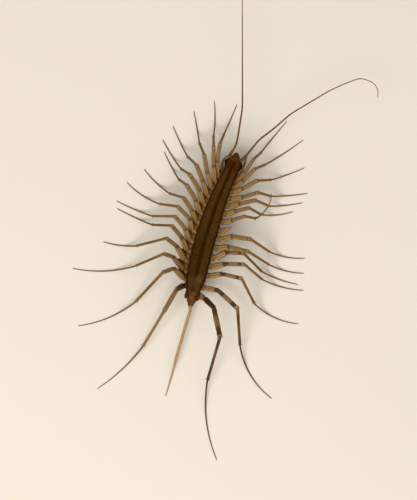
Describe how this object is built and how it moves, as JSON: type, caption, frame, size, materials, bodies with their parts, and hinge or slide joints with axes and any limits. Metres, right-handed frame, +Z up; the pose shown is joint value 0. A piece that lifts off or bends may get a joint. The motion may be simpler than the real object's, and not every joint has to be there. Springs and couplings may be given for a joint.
{
  "type": "house centipede model",
  "caption": "Still, life-size model of a house centipede: flat plated trunk, faceted eyes, long thread-like antennae and very long, slender, spined legs spread wide to stand on the floor.",
  "frame": {"origin": "middle of the footprint of the whole animal, antennae and legs included, on the floor it stands on", "axes": "+Z up from the floor; +Y towards the head, along the longest extent; +X to the animal's right"},
  "size_m": [0.0432, 0.0834, 0.0069],
  "materials": {
    "plate": "satin, dark reddish-brown with paler bands",
    "head": "satin, red-brown",
    "eye": "glossy, nearly black",
    "feeler": "satin, reddish-brown",
    "mouth": "satin, pale amber",
    "leg": "satin, golden tan with brown rings",
    "rear_leg": "satin, brown with dark bands"
  },
  "bodies": {
    "root": {"trunk_1": "plate", "trunk_2": "plate", "trunk_3": "plate", "trunk_4": "plate", "trunk_5": "plate", "trunk_6": "plate", "trunk_7": "plate", "trunk_8": "plate", "telson": "plate", "head": "head", "eye_left": "eye", "eye_right": "eye", "antenna_left": "feeler", "antenna_right": "feeler", "forcipule_left": "mouth", "forcipule_right": "mouth", "maxilla_left": "mouth", "maxilla_right": "mouth", "leg_left_01": "leg", "leg_left_02": "leg", "leg_left_03": "leg", "leg_left_04": "leg", "leg_left_05": "leg", "leg_left_06": "leg", "leg_left_07": "leg", "leg_left_08": "leg", "leg_left_09": "leg", "leg_left_10": "leg", "leg_left_11": "leg", "leg_left_12": "leg", "leg_left_13": "rear_leg", "leg_left_14": "rear_leg", "leg_left_15": "rear_leg", "leg_right_01": "leg", "leg_right_02": "leg", "leg_right_03": "leg", "leg_right_04": "leg", "leg_right_05": "leg", "leg_right_06": "leg", "leg_right_07": "leg", "leg_right_08": "leg", "leg_right_09": "leg", "leg_right_10": "leg", "leg_right_11": "leg", "leg_right_12": "leg", "leg_right_13": "rear_leg", "leg_right_14": "rear_leg", "leg_right_15": "rear_leg"}
  },
  "joints": []
}
